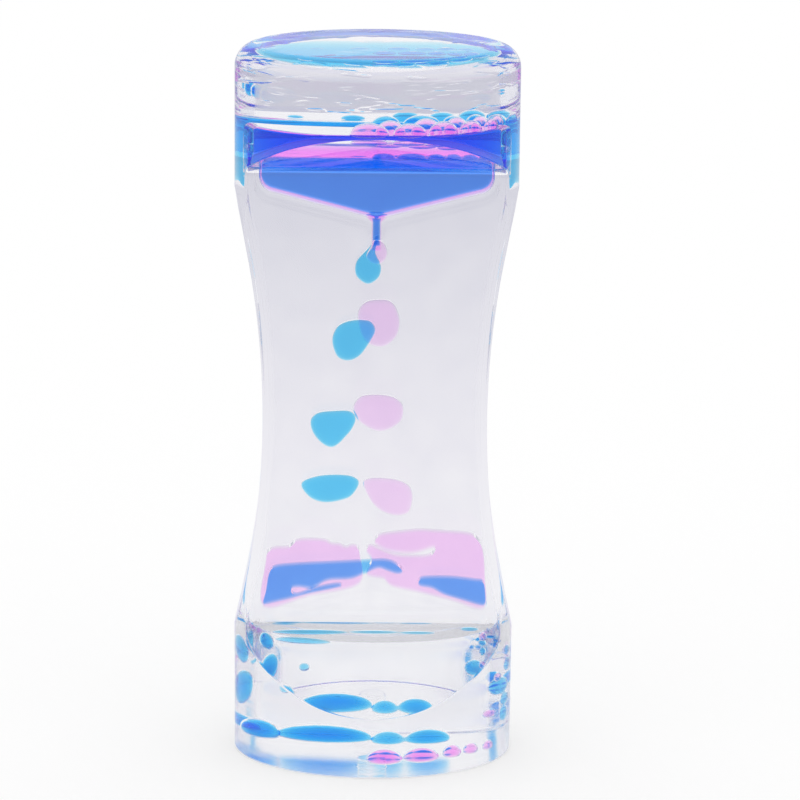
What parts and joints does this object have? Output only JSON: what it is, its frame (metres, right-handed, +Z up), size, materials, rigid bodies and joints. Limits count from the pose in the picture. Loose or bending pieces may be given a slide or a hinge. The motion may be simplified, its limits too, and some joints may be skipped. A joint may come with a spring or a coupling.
{
  "type": "liquid motion timer",
  "caption": "Clear waisted tabletop timer: pink and blue liquid drips through funnels in two oil-filled cells and collects at the base; it is turned over to start again.",
  "frame": {"origin": "centre of the flat base, on the table", "axes": "+Z up along the vessel's axis, -Y towards the viewer of the picture, +X to the viewer's right"},
  "size_m": [0.053, 0.04, 0.1365],
  "materials": {
    "clear_acrylic": "clear moulded acrylic, polished",
    "clear_oil": "clear mineral oil",
    "pink_liquid": "dyed water, pink",
    "blue_liquid": "dyed water, blue"
  },
  "bodies": {
    "vessel": {"front_shell": "clear_acrylic", "rear_shell": "clear_acrylic", "divider_plate": "clear_acrylic", "base_plate": "clear_acrylic", "upper_funnel_front": "clear_acrylic", "upper_funnel_rear": "clear_acrylic", "lower_funnel_front": "clear_acrylic", "lower_funnel_rear": "clear_acrylic", "filler_plug_front": "clear_acrylic", "filler_plug_rear": "clear_acrylic", "clear_oil_front": "clear_oil", "clear_oil_rear": "clear_oil", "pink_upper_pool": "pink_liquid", "blue_upper_pool": "blue_liquid", "pink_surface_beads": "pink_liquid", "blue_surface_beads": "blue_liquid", "pink_ramp_pool_left": "pink_liquid", "pink_ramp_pool_right": "pink_liquid", "blue_ramp_pool_left": "blue_liquid", "blue_ramp_pool_right": "blue_liquid", "pink_base_puddle": "pink_liquid", "blue_base_puddle": "blue_liquid"},
    "pink_drop_1": {"pink_drop_1": "pink_liquid"},
    "pink_drop_2": {"pink_drop_2": "pink_liquid"},
    "pink_drop_3": {"pink_drop_3": "pink_liquid"},
    "pink_drop_4": {"pink_drop_4": "pink_liquid"},
    "blue_drop_1": {"blue_drop_1": "blue_liquid"},
    "blue_drop_2": {"blue_drop_2": "blue_liquid"},
    "blue_drop_3": {"blue_drop_3": "blue_liquid"},
    "blue_drop_4": {"blue_drop_4": "blue_liquid"},
    "blue_runoff_bead_left": {"blue_runoff_bead_left": "blue_liquid"},
    "blue_runoff_bead_right": {"blue_runoff_bead_right": "blue_liquid"},
    "pink_runoff_bead_right": {"pink_runoff_bead_right": "pink_liquid"}
  },
  "joints": [
    {"name": "pink_drop_1_fall", "type": "slide", "parent": "vessel", "child": "pink_drop_1", "axis": [0, 0, -1], "range_m": [0, 0.01317], "deforming": ["clear_oil_front"]},
    {"name": "pink_drop_2_fall", "type": "slide", "parent": "vessel", "child": "pink_drop_2", "axis": [0.0115, 0, -0.9999], "range_m": [0, 0.01734], "deforming": ["clear_oil_front"]},
    {"name": "pink_drop_3_fall", "type": "slide", "parent": "vessel", "child": "pink_drop_3", "axis": [0.0979, 0, -0.9952], "range_m": [0, 0.0112], "deforming": ["clear_oil_front"]},
    {"name": "pink_drop_4_fall", "type": "slide", "parent": "vessel", "child": "pink_drop_4", "axis": [0, 0, -1], "range_m": [0, 0.0024], "deforming": ["clear_oil_front"]},
    {"name": "blue_drop_1_fall", "type": "slide", "parent": "vessel", "child": "blue_drop_1", "axis": [-0.1752, 0, -0.9845], "range_m": [0, 0.01427], "deforming": ["clear_oil_rear"]},
    {"name": "blue_drop_2_fall", "type": "slide", "parent": "vessel", "child": "blue_drop_2", "axis": [-0.2111, 0, -0.9775], "range_m": [0, 0.01753], "deforming": ["clear_oil_rear"]},
    {"name": "blue_drop_3_fall", "type": "slide", "parent": "vessel", "child": "blue_drop_3", "axis": [-0.0422, 0, -0.9991], "range_m": [0, 0.01184], "deforming": ["clear_oil_rear"]},
    {"name": "blue_drop_4_fall", "type": "slide", "parent": "vessel", "child": "blue_drop_4", "axis": [0, 0, -1], "range_m": [0, 0.0108], "deforming": ["clear_oil_rear"]},
    {"name": "blue_runoff_bead_left_run", "type": "slide", "parent": "vessel", "child": "blue_runoff_bead_left", "axis": [0, 0, -1], "range_m": [0, 0.013], "deforming": ["clear_oil_rear"]},
    {"name": "blue_runoff_bead_right_run", "type": "slide", "parent": "vessel", "child": "blue_runoff_bead_right", "axis": [0, 0, -1], "range_m": [0, 0.012], "deforming": ["clear_oil_rear"]},
    {"name": "pink_runoff_bead_right_run", "type": "slide", "parent": "vessel", "child": "pink_runoff_bead_right", "axis": [0, 0, -1], "range_m": [0, 0.0145], "deforming": ["clear_oil_front"]}
  ],
  "couplings": [
    {"joint": "pink_drop_1_fall", "follows": "pink_drop_2_fall", "ratio": 0.75964},
    {"joint": "pink_drop_3_fall", "follows": "pink_drop_2_fall", "ratio": 0.64595},
    {"joint": "pink_drop_4_fall", "follows": "pink_drop_2_fall", "ratio": 0.13842},
    {"joint": "blue_drop_1_fall", "follows": "blue_drop_3_fall", "ratio": 1.2051},
    {"joint": "blue_drop_2_fall", "follows": "blue_drop_3_fall", "ratio": 1.4809},
    {"joint": "blue_drop_4_fall", "follows": "blue_drop_3_fall", "ratio": 0.91233}
  ]
}
